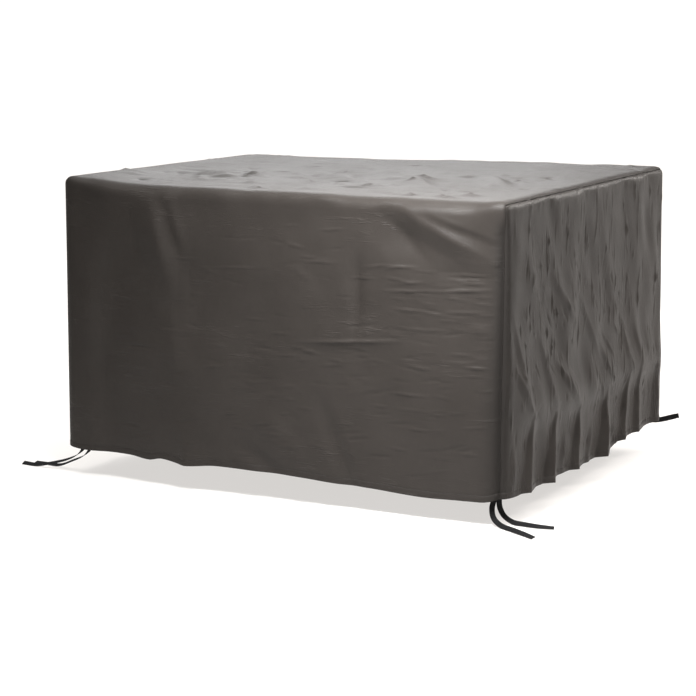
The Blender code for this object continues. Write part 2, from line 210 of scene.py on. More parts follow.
# %% The rounded box
LENGTH = 1.680
DEPTH = 1.400
CLOTH = 0.002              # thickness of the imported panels
TOP_RADIUS = 0.042         # soft round of the long top edges
END_RADIUS = 0.026         # tighter where the end seams hold them
SEAM_CALM = 0.070          # folds die out this close to a seam
HALF_X = LENGTH / 2 - CLOTH
HALF_Y = DEPTH / 2 - CLOTH
DROP = 0.95                # from the top to the hem, more or less
LEFT_RISE = 0.013          # the left top edge stands up, most at its front
FRONT_SAG = 0.005          # the front top edge sags between its ends
BACK_SAG = 0.016           # the cloth sags along the back edge, towards the left

# The upright seams: which corner, how round the cloth turns at the hem, how high the top corner
# sits, how far the hem leans there, over what level length and along what slope after it.
Corner = namedtuple("Corner", "name x y hem_radius lift lean_x lean_y flat slope")
CORNERS = (
    Corner("front_left", -1, -1, 0.035, -0.002, -0.024, 0.026, 0.17, 0.27),
    Corner("front_right", 1, -1, 0.075, 0.000, 0.000, 0.000, 0.10, 0.30),
    Corner("back_right", 1, 1, 0.035, 0.006, 0.008, 0.004, 0.05, 0.40),
    Corner("back_left", -1, 1, 0.050, -0.004, -0.006, -0.004, 0.05, 0.40),
)


def ease(t):
    t = np.clip(t, 0.0, 1.0)
    return t * t * (3 - 2 * t)


def corner_radius(x, y, z):
    """How round the cloth turns at the nearest upright seam, at this height."""
    top = END_RADIUS + (TOP_RADIUS - END_RADIUS) * ease((HALF_X - np.abs(x)) / 0.15)
    down = ease((-z - TOP_RADIUS) / 0.9)
    radius = top
    for corner in CORNERS:
        near = (corner.x * x >= 0) & (corner.y * y >= 0)
        radius = np.where(near, top + (corner.hem_radius - top) * down, radius)
    return radius


def corner_lift(x, y):
    total = 0.0
    for corner in CORNERS:
        share = (1 + corner.x * x / HALF_X) * (1 + corner.y * y / HALF_Y) / 4
        total = total + corner.lift * share
    total = total + LEFT_RISE * ease((-0.58 - x) / 0.24) * (1 - y / HALF_Y) / 2
    total = total - FRONT_SAG * ease((-0.40 - y) / 0.25) * ease((HALF_X - np.abs(x)) / 0.20)
    return total - BACK_SAG * ease((y - 0.50) / 0.20) * ease((0.45 - x) / 1.1)


def corner_lean(x, y, z):
    """How far the cloth leans in towards a corner that nothing fills: level near the corner, then
    a flat slope back out along the side."""
    shift = np.zeros(np.shape(x) + (3,))
    down = ease(-z / DROP)
    for corner in CORNERS:
        away_x = np.abs(x - corner.x * HALF_X)
        away_y = np.abs(y - corner.y * HALF_Y)
        share_x = np.clip(1 - (away_x - corner.flat) / corner.slope, 0.0, 1.0)
        share_y = np.clip(1 - (away_y - corner.flat) / corner.slope, 0.0, 1.0)
        shift[..., 0] += corner.lean_x * down * share_x * share_y
        shift[..., 1] += corner.lean_y * down * share_x * share_y
    return shift


def drape(x, y, z, push):
    """Points of the sharp box, moved on to the rounded cover and pushed out by their folds."""
    x, y, z, push = np.broadcast_arrays(*(np.asarray(a, float) for a in (x, y, z, push)))
    radius = corner_radius(x, y, z)
    core = np.stack((
        np.clip(x, radius - HALF_X, HALF_X - radius),
        np.clip(y, radius - HALF_Y, HALF_Y - radius),
        np.minimum(z, -radius * (z > -0.1) - TOP_RADIUS * (z <= -0.1)),
    ), axis=-1)
    away = np.stack((x, y, z), axis=-1) - core
    away /= np.linalg.norm(away, axis=-1, keepdims=True)
    point = core + away * (radius + CLOTH + push)[..., None]
    point[..., 2] += corner_lift(x, y) * (1 - ease(-z / 0.5))
    return point + corner_lean(x, y, z)


print("box", round(2 * HALF_X, 3), "by", round(2 * HALF_Y, 3))

# %% [markdown]
# ## Folds from tables
#
# A fold is a row: where it starts and ends on its side of the cover, its half widths to the left and
# right, one for each end or one for both, and how far it stands out at its start, middle and end,
# below zero for a
# trough. A soft fold has a bell-shaped section. A crease has a pointed one, because coated cloth
# that was pressed keeps a sharp edge. Different widths at left and right give one steep and one
# slow flank, which is what makes hanging cloth look like cloth.

# %% Folds and creases
Fold = namedtuple("Fold", "name start end left right rise")


def fold_height(folds, u, v, point=0.0):
    """How far all the folds of one side push the cloth outwards at the places (u, v).

    point 0 gives soft folds. A number gives pointed ones: 1 has flat flanks, 2 hollow ones.
    """
    total = np.zeros(np.broadcast(u, v).shape)
    for fold in folds:
        du = fold.end[0] - fold.start[0]
        dv = fold.end[1] - fold.start[1]
        reach = math.hypot(du, dv)
        along = ((u - fold.start[0]) * du + (v - fold.start[1]) * dv) / reach ** 2
        across = ((u - fold.start[0]) * dv - (v - fold.start[1]) * du) / reach
        t = np.clip(along, 0.0, 1.0)
        left, right = (
            first + (last - first) * t
            for first, last in (np.broadcast_to(fold.left, 2), np.broadcast_to(fold.right, 2)))
        near = 1 - np.minimum(np.abs(across) / np.where(across > 0, left, right), 1.0)
        section = near ** point if point else near * near * (3 - 2 * near)
        start, middle, end = fold.rise
        rise = np.where(
            t < 0.5,
            start + (middle - start) * ease(2 * t),
            middle + (end - middle) * ease(2 * t - 1),
        )
        fade = ease(along / 0.12) * (ease((1 - along) / 0.12) if end == 0.0 else (along <= 1.0))
        total += rise * fade * section
    return total


def crinkles(seed, count, low, high, heading, spread, length, width, rise):
    """Small creases strewn over a patch: heading and spread in degrees, the rest in metres."""
    dice = np.random.default_rng(seed)
    rows = []
    for _ in range(count):
        middle = [dice.uniform(a, b) for a, b in zip(low, high)]
        angle = math.radians(heading + dice.normal(0.0, spread))
        half = dice.uniform(*length) / 2
        step = (half * math.cos(angle), half * math.sin(angle))
        left = dice.uniform(*width)
        right = dice.uniform(*width)
        height = dice.uniform(*rise) * (1 if dice.random() < 0.65 else -1)
        rows.append(Fold(
            "crinkle",
            (middle[0] - step[0], middle[1] - step[1]),
            (middle[0] + step[0], middle[1] + step[1]),
            left, right, (0.0, height, 0.0),
        ))
    return rows


def slack(seed, u, v, size, height, heading=0.0, spread=math.pi):
    """Slow, uneven billowing from long waves; they run within spread of the heading."""
    dice = np.random.default_rng(seed)
    total = 0.0
    for _ in range(9):
        angle = heading + dice.uniform(-0.5, 0.5) * spread
        wave = 2 * math.pi / (size * dice.uniform(0.6, 1.6))
        phase = dice.uniform(0, 2 * math.pi)
        total = total + np.sin((u * math.cos(angle) + v * math.sin(angle)) * wave + phase)
    return total * height / 4.2


def along(table, place):
    """Read a two column table at many places, easing between its rows."""
    places, values = np.array(table).T
    k = np.clip(np.searchsorted(places, place) - 1, 0, len(places) - 2)
    share = (place - places[k]) / (places[k + 1] - places[k])
    return values[k] + (values[k + 1] - values[k]) * ease(share)


def calm(place, half, width=SEAM_CALM):
    """1 in the open cloth, 0 at the seams."""
    return ease((half - np.abs(place)) / width)


print("a fold of 10 mm rises", float(fold_height(
    [Fold("test", (0, 0), (0, 1), 0.1, 0.1, (0.01, 0.01, 0.01))], 0.0, 0.5)))

# %% [markdown]
# ## The hem line
#
# The hem is never level. These tables say how low it hangs along each side; the front's dips and
# its notch are where the wide trough meets it.

# %% Hem tables
FRONT_HEM = (
    (-0.84, -0.943), (-0.77, -0.950), (-0.58, -0.949), (-0.50, -0.956), (-0.45, -0.946),
    (-0.35, -0.957), (-0.22, -0.948), (0.00, -0.950), (0.30, -0.960), (0.58, -0.971),
    (0.75, -0.967), (0.84, -0.954),
)
RIGHT_HEM = (
    (-0.70, -0.954), (-0.45, -0.954), (-0.10, -0.956), (0.10, -0.957), (0.20, -0.949),
    (0.30, -0.933), (0.50, -0.926), (0.70, -0.926),
)
BACK_HEM = ((-0.84, -0.940), (-0.40, -0.952), (0.10, -0.944), (0.50, -0.934), (0.84, -0.924))
LEFT_HEM = ((-0.70, -0.943), (-0.30, -0.948), (0.20, -0.944), (0.70, -0.940))

HEM_TURN = 0.020          # the hem is turned up and stitched this far above its edge
HEM_STEP = 0.0008         # the doubled cloth stands out by this much
EDGE_CALM = 0.040         # folds of the sides die out this close to the top edge


def hem_relief(seed, place, above):
    """The doubled cloth below the stitches, and the small puckers along them."""
    dice = np.random.default_rng(seed)
    puckers = 0.0
    for wave in (0.021, 0.033, 0.052):
        puckers = puckers + np.sin(place * 2 * math.pi / wave + dice.uniform(0, 6.28))
    near = np.exp(-((above - HEM_TURN) / 0.012) ** 2)
    step = HEM_STEP * (1 - ease((above - HEM_TURN + 0.003) / 0.004))
    groove = -0.0006 * np.exp(-((above - HEM_TURN) / 0.0028) ** 2)
    return step + groove + 0.00045 * puckers * near


print("front hem hangs from", min(z for _, z in FRONT_HEM), "to", max(z for _, z in FRONT_HEM))

# %% [markdown]
# ## The front's folds
#
# From left to right: a soft upright ridge near the left corner, a wide trough that reaches the hem
# and leaves a notch in it, a slack pull that hangs from the top edge, the pressed storage creases, and
# at the right the strong pulls that fan out of the top edge towards the corner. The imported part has
# the main ones of these folds in plainer rows, so the fine cloth lies close to its solid.

# %% Front tables
FRONT_FOLDS = (
    Fold("left_swell", (-0.74, -0.10), (-0.73, -1.00), 0.07, 0.06, (0.0, 0.003, 0.005)),
    Fold("foot_ridge", (-0.37, -0.70), (-0.34, -1.00), 0.05, (0.08, 0.10), (0.0, 0.003, 0.009)),
    Fold("middle_trough", (0.31, -0.08), (0.31, -0.56), 0.045, 0.030, (0.0, -0.009, 0.0)),
    Fold("patch", (0.66, -0.03), (0.80, -0.07), 0.06, 0.06, (0.0, 0.002, 0.0)),
    Fold("knee", (0.02, -0.50), (0.52, -0.46), 0.04, 0.09, (0.0, 0.006, 0.0)),
    Fold("low_slant", (0.14, -0.62), (0.31, -1.00), (0.05, 0.06), 0.05, (0.0, -0.010, -0.007)),
    Fold("low_swell", (-0.10, -0.70), (0.16, -0.96), 0.10, 0.06, (0.0, 0.008, 0.0)),
    Fold("hem_scoop", (-0.18, -0.84), (0.08, -0.99), 0.05, (0.05, 0.04), (0.0, -0.009, 0.0)),
    Fold("lens", (0.70, -0.41), (0.80, -0.41), 0.03, 0.03, (0.0, 0.004, 0.0)),
)
FRONT_PULLS = (
    Fold("wide_trough", (-0.68, -0.06), (-0.63, -1.00), (0.15, 0.16), (0.25, 0.27), (0.0, -0.009, -0.011)),
    Fold("lam_ridge", (-0.485, -0.01), (-0.375, -0.42), (0.10, 0.13), (0.030, 0.070), (0.008, 0.018, 0.0)),
    Fold("lam_ridge_low", (-0.41, -0.28), (-0.36, -0.80), (0.10, 0.14), (0.10, 0.12), (0.0, 0.009, 0.0)),
    Fold("lam_second", (-0.41, -0.02), (-0.335, -0.26), (0.025, 0.03), (0.03, 0.04), (0.003, 0.007, 0.0)),
    Fold("pull_ridge", (0.45, -0.02), (0.81, -0.20), (0.070, 0.060), (0.06, 0.05), (0.006, 0.018, 0.003)),
    Fold("pull_valley", (0.37, -0.02), (0.60, -0.235), 0.10, 0.075, (-0.004, -0.020, 0.0)),
    Fold("pull_floor", (0.55, -0.225), (0.82, -0.245), 0.05, 0.045, (0.0, -0.007, 0.0)),
    Fold("streak_ridge", (0.53, -0.025), (0.80, -0.12), (0.020, 0.022), (0.08, 0.07), (0.001, 0.010, 0.004)),
    Fold("hem_foot", (-0.36, -0.80), (-0.35, -1.00), (0.03, 0.04), (0.08, 0.10), (0.0, 0.004, 0.007)),
    Fold("corner_valley", (0.790, -0.02), (0.775, -1.00), (0.06, 0.08), (0.03, 0.05),
         (-0.003, -0.005, -0.008)),
)
CREASE_GAIN = 1.2         # every named crease stands this much higher than its row says
# Name, start, end, half width, height: the creases that can be told apart one by one.
NAMED_CREASES = (
    ("storage_1", (-0.685, -0.10), (-0.635, -0.90), 0.014, 0.0024),
    ("storage_2", (-0.35, -0.12), (-0.35, -0.56), 0.012, 0.0018),
    ("storage_3", (0.00, -0.14), (0.00, -0.58), 0.012, -0.0033),
    ("storage_4", (0.20, -0.05), (0.20, -0.14), 0.010, -0.0033),
    ("storage_5", (0.305, -0.12), (0.300, -0.90), 0.016, -0.0018),
    ("level_1", (-0.62, -0.563), (-0.45, -0.560), 0.012, -0.0045),
    ("level_2", (0.04, -0.500), (0.52, -0.462), 0.014, 0.0053),
    ("level_3", (-0.82, -0.49), (-0.02, -0.50), 0.010, 0.0015),
    ("level_4", (0.37, -0.223), (0.56, -0.218), 0.008, 0.0036),
    ("level_5", (0.60, -0.236), (0.82, -0.234), 0.008, 0.0033),
    ("level_6", (0.44, -0.277), (0.57, -0.264), 0.008, 0.0033),
    ("level_7", (0.38, -0.305), (0.62, -0.292), 0.008, 0.0039),
    ("level_8", (0.56, -0.296), (0.82, -0.276), 0.009, 0.0042),
    ("level_9", (0.08, -0.222), (0.26, -0.222), 0.008, 0.0030),
    ("level_10", (-0.32, -0.270), (0.00, -0.252), 0.007, 0.0027),
    ("level_11", (-0.30, -0.609), (-0.16, -0.601), 0.007, 0.0030),
    ("level_12", (0.40, -0.637), (0.60, -0.638), 0.008, 0.0036),
    ("level_13", (0.43, -0.689), (0.58, -0.685), 0.007, 0.0030),
    ("level_14", (0.60, -0.360), (0.80, -0.352), 0.008, 0.0033),
    ("level_15", (0.42, -0.425), (0.66, -0.418), 0.008, 0.0030),
    ("level_16", (0.66, -0.530), (0.81, -0.534), 0.009, 0.0039),
)
FRONT_CREASES = [
    Fold(name, start, end, width, width, (0.0, height * CREASE_GAIN, 0.0))
    for name, start, end, width, height in NAMED_CREASES
]
FRONT_CRINKLES = (
    crinkles(11, 80, (0.30, -0.56), (0.82, -0.22), 1, 6, (0.03, 0.16), (0.005, 0.009), (0.0010, 0.0036))
    + crinkles(12, 90, (-0.10, -0.92), (0.82, -0.50), 1, 9, (0.03, 0.14), (0.005, 0.010), (0.0014, 0.0044))
    + crinkles(13, 90, (-0.60, -0.90), (0.30, -0.10), 1, 12, (0.03, 0.14), (0.005, 0.010), (0.0012, 0.0038))
    + crinkles(14, 40, (-0.83, -0.92), (-0.40, -0.06), 1, 14, (0.03, 0.12), (0.006, 0.014), (0.0004, 0.0014))
    + crinkles(15, 30, (-0.40, -0.90), (0.80, -0.25), -48, 14, (0.03, 0.10), (0.008, 0.018), (0.0014, 0.0040))
)
print("front folds", len(FRONT_FOLDS) + len(FRONT_PULLS) + len(FRONT_CREASES) + len(FRONT_CRINKLES))

# %% [markdown]
# ## The right end's folds
#
# The end is a separate panel whose crinkles run upright. Something inside carries a level bulge low
# on it; below the bulge the spare cloth gathers in pleats with a sharp bright ridge and a dark
# wedge that widens to the hem, and above it slack pulls slant down to the right.

# %% Right end tables
RIGHT_FOLDS = (
    Fold("bulge", (-0.66, -0.70), (0.68, -0.68), 0.10, 0.14, (0.006, 0.012, 0.012)),
    Fold("sag_1", (-0.50, -0.10), (-0.20, -0.60), 0.10, 0.10, (0.0, -0.006, 0.0)),
    Fold("sag_2", (-0.02, -0.10), (0.20, -0.60), 0.10, 0.10, (0.0, -0.006, 0.0)),
)
RIGHT_PULLS = (
    Fold("pleat_1", (-0.48, -0.69), (-0.55, -1.00), (0.015, 0.035), (0.05, 0.10), (0.002, 0.016, 0.026)),
    Fold("pleat_2", (-0.285, -0.71), (-0.38, -1.00), (0.012, 0.038), (0.05, 0.12), (0.002, 0.022, 0.034)),
    Fold("pleat_3", (-0.09, -0.73), (-0.14, -1.00), (0.012, 0.036), (0.05, 0.10), (0.002, 0.018, 0.028)),
    Fold("pleat_4", (0.165, -0.73), (0.10, -1.00), (0.012, 0.045), (0.05, 0.12), (0.002, 0.024, 0.034)),
    Fold("pleat_5", (0.365, -0.68), (0.28, -1.00), (0.012, 0.032), (0.04, 0.08), (0.002, 0.016, 0.024)),
    Fold("pleat_6", (0.46, -0.67), (0.42, -1.00), (0.012, 0.030), (0.05, 0.10), (0.002, 0.014, 0.022)),
    Fold("pleat_7", (0.64, -0.69), (0.62, -1.00), (0.020, 0.050), (0.04, 0.06), (0.004, 0.014, 0.020)),
    Fold("small_1", (-0.62, -0.78), (-0.63, -0.95), 0.02, (0.02, 0.03), (0.0, 0.006, 0.0)),
    Fold("small_2", (-0.21, -0.80), (-0.22, -0.98), (0.02, 0.03), (0.02, 0.03), (0.0, 0.007, 0.0)),
    Fold("small_3", (0.03, -0.78), (-0.02, -1.00), (0.02, 0.03), (0.02, 0.04), (0.0, 0.007, 0.006)),
    Fold("slant_1", (-0.40, -0.20), (-0.05, -0.54), (0.02, 0.03), (0.05, 0.07), (0.0, 0.007, 0.0)),
    Fold("slant_2", (0.06, -0.52), (0.20, -0.70), 0.02, (0.04, 0.05), (0.0, 0.007, 0.0)),
    Fold("slant_3", (-0.33, -0.52), (-0.09, -0.75), (0.02, 0.03), (0.05, 0.06), (0.0, 0.009, 0.004)),
    Fold("slant_4", (-0.67, -0.30), (-0.51, -0.68), (0.02, 0.03), (0.05, 0.06), (0.0, 0.006, 0.0)),
    Fold("slant_5", (-0.66, -0.49), (-0.48, -0.72), (0.02, 0.03), (0.06, 0.07), (0.0, 0.010, 0.004)),
    Fold("slant_6", (-0.45, -0.42), (-0.29, -0.72), (0.02, 0.03), (0.05, 0.06), (0.0, 0.007, 0.002)),
    Fold("slant_7", (-0.14, -0.30), (0.16, -0.70), (0.02, 0.03), (0.06, 0.07), (0.0, 0.006, 0.0)),
    Fold("slant_8", (0.28, -0.46), (0.37, -0.70), 0.02, (0.04, 0.05), (0.0, 0.006, 0.002)),
    Fold("slant_9", (0.40, -0.50), (0.47, -0.69), 0.02, 0.04, (0.0, 0.005, 0.002)),
)
RIGHT_CRINKLES = (
    crinkles(21, 150, (-0.68, -0.66), (0.69, -0.04), 90, 6, (0.03, 0.17), (0.004, 0.009), (0.0014, 0.0050))
    + crinkles(22, 60, (-0.60, -0.74), (0.50, -0.26), 122, 9, (0.03, 0.12), (0.005, 0.011), (0.0018, 0.0056))
    + crinkles(23, 60, (-0.66, -0.94), (0.66, -0.70), 82, 12, (0.03, 0.12), (0.005, 0.012), (0.0010, 0.0040))
)
print("right end folds", len(RIGHT_FOLDS) + len(RIGHT_PULLS) + len(RIGHT_CRINKLES))

# %% [markdown]
# ## The top, the back and the left end
#
# The top is slack between the table's corners and buckles in slanting waves, seen as pale smears in
# the low light. The back and the left end are out of sight; they hang as the front does.

# %% Other tables
TOP_FOLDS = (
    Fold("buckle_1", (-0.66, -0.10), (-0.25, -0.46), 0.08, 0.05, (0.0, 0.018, 0.0)),
    Fold("buckle_2", (-0.18, -0.06), (0.22, -0.40), 0.08, 0.05, (0.0, 0.018, 0.0)),
    Fold("buckle_3", (0.16, -0.02), (0.46, -0.46), 0.08, 0.05, (0.0, 0.018, 0.0)),
    Fold("buckle_4", (0.40, 0.10), (0.68, -0.32), 0.08, 0.05, (0.0, 0.018, 0.0)),
    Fold("buckle_5", (-0.66, 0.54), (-0.26, 0.22), 0.10, 0.05, (0.0, 0.007, 0.0)),
    Fold("buckle_6", (0.00, 0.56), (0.40, 0.26), 0.10, 0.05, (0.0, 0.006, 0.0)),
)
TOP_CRINKLES = (
    crinkles(31, 110, (-0.80, -0.64), (0.80, 0.64), -4, 9, (0.06, 0.30), (0.018, 0.040), (0.0020, 0.0065))
    + crinkles(32, 40, (-0.70, -0.60), (0.74, 0.40), -36, 14, (0.06, 0.24), (0.018, 0.040), (0.0030, 0.0085))
    + crinkles(33, 40, (-0.35, -0.62), (0.80, 0.20), -28, 14, (0.08, 0.26), (0.018, 0.036), (0.0040, 0.0105))
)
BACK_FOLDS = (
    Fold("trough_1", (-0.55, -0.20), (-0.50, -1.00), (0.10, 0.12), (0.10, 0.12), (0.0, -0.010, -0.018)),
    Fold("ridge_1", (-0.20, -0.30), (-0.24, -1.00), (0.08, 0.10), (0.08, 0.10), (0.0, 0.008, 0.014)),
    Fold("trough_2", (0.16, -0.25), (0.12, -1.00), (0.09, 0.11), (0.09, 0.11), (0.0, -0.009, -0.016)),
    Fold("ridge_2", (0.52, -0.30), (0.50, -1.00), (0.08, 0.10), (0.08, 0.10), (0.0, 0.007, 0.013)),
)
BACK_CRINKLES = crinkles(
    41, 60, (-0.82, -0.90), (0.82, -0.08), 0, 14, (0.06, 0.22), (0.010, 0.020), (0.0004, 0.0014))
LEFT_FOLDS = (
    Fold("bulge", (-0.62, -0.70), (0.62, -0.68), 0.09, 0.10, (0.006, 0.009, 0.006)),
    Fold("pleat_1", (-0.36, -0.70), (-0.40, -1.00), (0.04, 0.10), (0.05, 0.09), (0.0, 0.014, 0.022)),
    Fold("pleat_2", (0.00, -0.70), (-0.03, -1.00), (0.04, 0.10), (0.05, 0.09), (0.0, 0.016, 0.024)),
    Fold("pleat_3", (0.36, -0.70), (0.38, -1.00), (0.04, 0.10), (0.05, 0.09), (0.0, 0.014, 0.022)),
)
LEFT_CRINKLES = crinkles(
    51, 60, (-0.68, -0.90), (0.68, -0.06), 90, 10, (0.06, 0.22), (0.010, 0.020), (0.0006, 0.0024))
print("top folds", len(TOP_FOLDS) + len(TOP_CRINKLES))

# %% [markdown]
# ## Seams
#
# Two panels are sewn face to face and turned, so at every seam the cloth rolls under and its cut
# edge stands inside. A panel's grid therefore runs on past the seam: three extra columns go
# straight in between the two panels and leave the narrow dark groove.

# %% Seam columns
SEAM_GAP = 0.0004
ALLOWANCE = (0.0016, 0.0045, 0.0110)    # how deep the three extra columns stand
SKIN = 0.0012                            # thickness of the cloth itself


def seam_roll(distance):
    """How far the cloth sinks as it rolls into a seam this far away."""
    return -0.0006 * np.exp(-distance / 0.0020) - 0.0005 * np.exp(-distance / 0.008)


def seam_shade_and_hem_band(to_seam, to_hem):
    """Painted shade, up to 0.6 where the cloth rolls into a seam, and a darker band of 0.2 along the turned
    hem; 0 elsewhere.
    """
    seam = 0.6 * np.exp(-(to_seam / 0.010) ** 2)
    hem = 1 - ease((to_hem - HEM_TURN + 0.002) / 0.005)
    return np.maximum(seam, 0.2 * hem)


def places(half, gap, count):
    """Where the columns stand across a panel, and how deep the extra ones are."""
    outer = half - SEAM_GAP
    near = outer - np.array((0.0006, 0.0018, 0.0036, 0.0062, 0.0098, 0.0150))
    middle = np.linspace(-near[-1], near[-1], count)[1:-1]
    across = np.concatenate((-near, middle, near[::-1]))
    depth = np.array(ALLOWANCE)
    wide = np.full(len(depth), half - gap)
    return (
        np.concatenate((-wide, across, wide)),
        np.concatenate((depth[::-1], np.zeros(len(across)), depth)),
    )


def thin_grid(name, points, flat, thickness, offset, painted_shade=None):
    """A thin sheet from rows by columns arrays: its points and its flat place in metres."""
    rows, columns = points.shape[:2]
    piece = added(name, bpy.ops.mesh.primitive_grid_add, x_subdivisions=columns - 1,
                  y_subdivisions=rows - 1, size=1, calc_uvs=True)
    piece.data.vertices.foreach_set("co", points.reshape(-1))
    corners = np.empty(len(piece.data.loops), dtype=np.int32)
    piece.data.loops.foreach_get("vertex_index", corners)
    piece.data.uv_layers[0].data.foreach_set("uv", flat.reshape(-1, 2)[corners].reshape(-1))
    if painted_shade is not None:
        layer = piece.data.attributes.new("painted_shade", "FLOAT", "POINT")
        layer.data.foreach_set("value", np.ascontiguousarray(painted_shade).reshape(-1))
    piece.data.update()
    wall = piece.modifiers.new("thickness", "SOLIDIFY")
    wall.thickness = thickness
    wall.offset = offset
    bpy.ops.object.modifier_apply(modifier=wall.name)
    return piece


def cloth_grid(name, points, flat, painted_shade):
    """A panel of cloth. Its painted-shade mask darkens it at the seams and in a band along the hem, and on
    some panels beside the front right seam. The same mask makes it less shiny there."""
    rows, columns = points.shape[:2]
    panel = thin_grid(name, points, flat, SKIN, -1.0, painted_shade)
    bpy.ops.object.shade_smooth()
    print(name, rows, "rows", columns, "columns", 2 * len(panel.data.polygons), "triangles")
    return panel


hem_lines = []                           # each panel adds the line its hem is stitched along
print("seam allowance", ALLOWANCE)

# %% [markdown]
# ## The body panel
#
# One length of cloth runs up the front, over the top and down the back. Each row of its grid is a
# line from seam to seam. Rows are close at the hem, for the doubled edge and its stitches, and round
# the two top edges.

# %% Body panel
HEM_ROWS = np.array((0.0, 0.0008, 0.0040, 0.0095, 0.0150, 0.0178, 0.0200, 0.0222, 0.0250, 0.0320))
STITCH_ROW = 6


def upright_heights(hem, count):
    """Heights of the rows of an upright side: rows by columns, from the hem to the top edge."""
    edge = -TOP_RADIUS
    start = hem[None, :] + HEM_ROWS[:, None]
    share = np.linspace(0, 1, count)[1:, None]
    middle = start[-1:] + (edge - start[-1:]) * share
    turn = np.array((0.8, 0.6, 0.4, 0.2, 0.0)) * edge
    return np.vstack((start, middle, np.repeat(turn[:, None], len(hem), axis=1)))


across, depth = places(HALF_X, SEAM_GAP, 116)
inside = np.maximum(HALF_X - np.abs(across), 0.0)
edge_roll = seam_roll(inside) - depth


def edge_wobble(seed, place, away):
    """The soft top edge is never straight: a slow wave that dies out on both sides of it."""
    dice = np.random.default_rng(seed)
    total = 0.0
    for wave, height in ((0.37, 0.0022), (0.21, 0.0014), (0.123, 0.0007)):
        total = total + height * np.sin(place * 2 * math.pi / wave + dice.uniform(0, 6.28))
    return total * np.exp(-(away / 0.05) ** 2)


def corner_groove(inside, height):
    """Beside the front right seam the cloth is drawn in on both sides, for its whole height."""
    return -0.0075 * np.exp(-((inside - 0.007) / 0.021) ** 2) * ease((-height - 0.03) / 0.07)


def body_upright(hem_table, folds, pulls, sharp, seed, count):
    hem = along(hem_table, across)
    z = upright_heights(hem, count)
    x = np.repeat(across[None, :], len(z), axis=0)
    push = fold_height(folds, x, z)
    push += slack(seed, x, z, 0.42, 0.0050) * calm(x, HALF_X, 0.12)
    push += slack(seed + 10, x, z, 0.15, 0.0011, math.radians(70), 2.2)
    push *= calm(x, HALF_X)
    push += fold_height(pulls, x, z, point=1.25) * calm(x, HALF_X, 0.03)
    push += fold_height(sharp, x, z, point=2.0) * calm(x, HALF_X - 0.02, 0.06)
    push *= ease(-z / EDGE_CALM)
    push += edge_wobble(seed, x, -z) * calm(x, HALF_X)
    push += corner_groove(HALF_X - x, z)
    push += hem_relief(seed, x, z - hem[None, :])
    push += edge_roll[None, :]
    return x, z, push


x, z, push = body_upright(
    FRONT_HEM, FRONT_FOLDS, FRONT_PULLS, FRONT_CREASES + FRONT_CRINKLES, 101, 196)
front_points = drape(x, -HALF_Y, z, push)
front_flat = np.stack((x, z), axis=-1)
turn = TOP_RADIUS * np.array((0.2, 0.4, 0.6, 0.8, 1.0))
top_y = np.concatenate((
    turn - HALF_Y,
    np.linspace(TOP_RADIUS - HALF_Y, HALF_Y - TOP_RADIUS, 92)[1:-1],
    HALF_Y - turn[::-1],
))
x, y = np.meshgrid(across, top_y)
push = fold_height(TOP_FOLDS, x, y, point=1.3) + slack(102, x, y, 0.40, 0.0026)
push = push * calm(x, HALF_X) * calm(y, HALF_Y)
push += fold_height(TOP_CRINKLES, x, y, point=2.0) * calm(x, HALF_X, 0.03) * calm(y, HALF_Y, 0.05)
push += (edge_wobble(101, x, y + HALF_Y) + edge_wobble(103, x, HALF_Y - y)) * calm(x, HALF_X)
push += edge_roll[None, :]
top_points = drape(x, y, 0.0, push)
top_flat = np.stack((x, y + HALF_Y), axis=-1)
x, z, push = body_upright(BACK_HEM, BACK_FOLDS, (), BACK_CRINKLES, 103, 36)
back_points = drape(x, HALF_Y, z, push)[::-1]
back_flat = np.stack((x, 2 * HALF_Y - z), axis=-1)[::-1]

hem_lines += [front_points[STITCH_ROW, 5:-5], back_points[::-1][STITCH_ROW, 5:-5]]
# Painted shade: the cloth's colour is darkened at the seams and, less, in a band along the hem.
front_painted_shade = seam_shade_and_hem_band(inside[None, :], front_flat[..., 1] - along(FRONT_HEM, across)[None, :])
# Painted shade in the groove beside the front right seam, wider towards the hem.
reach = 0.022 + 0.030 * ease(-front_flat[..., 1] / DROP)
front_groove_shade = np.exp(-((HALF_X - 0.016 - across[None, :]) / reach) ** 2)
front_groove_shade *= ease((-front_flat[..., 1] - 0.02) / 0.08)
body_painted_shade = np.vstack((
    np.maximum(front_painted_shade, front_groove_shade),
    seam_shade_and_hem_band(inside[None, :], np.ones(top_points.shape[:2])),
    seam_shade_and_hem_band(inside[None, :], (2 * HALF_Y - back_flat[..., 1]) - along(BACK_HEM, across)[None, :]),
))
body = cloth_grid(
    "body_cloth",
    np.vstack((front_points, top_points, back_points)),
    np.vstack((front_flat, top_flat, back_flat)),
    body_painted_shade,
)

# %% [markdown]
# ## The end panels
#
# The ends are cut apart from the body and meet it at the two upright seams and along the top edge.
# Small puckers stand along the top seam, where the end was eased on to the body.

# %% End panels
def edge_puckers(seed, place, away):
    """Short puckers that run down from the top seam, uneven in size and spacing."""
    dice = np.random.default_rng(seed + 7)
    total = 0.0
    for wave, height in ((0.113, 0.0013), (0.061, 0.0012), (0.037, 0.0008)):
        total = total + height * np.sin(place * 2 * math.pi / wave + dice.uniform(0, 6.28))
    strength = 0.5 + 0.5 * np.sin(place * 9.0 + seed) * np.sin(place * 23.0)
    return total * strength * np.exp(-((away - 0.012) / 0.035) ** 2)


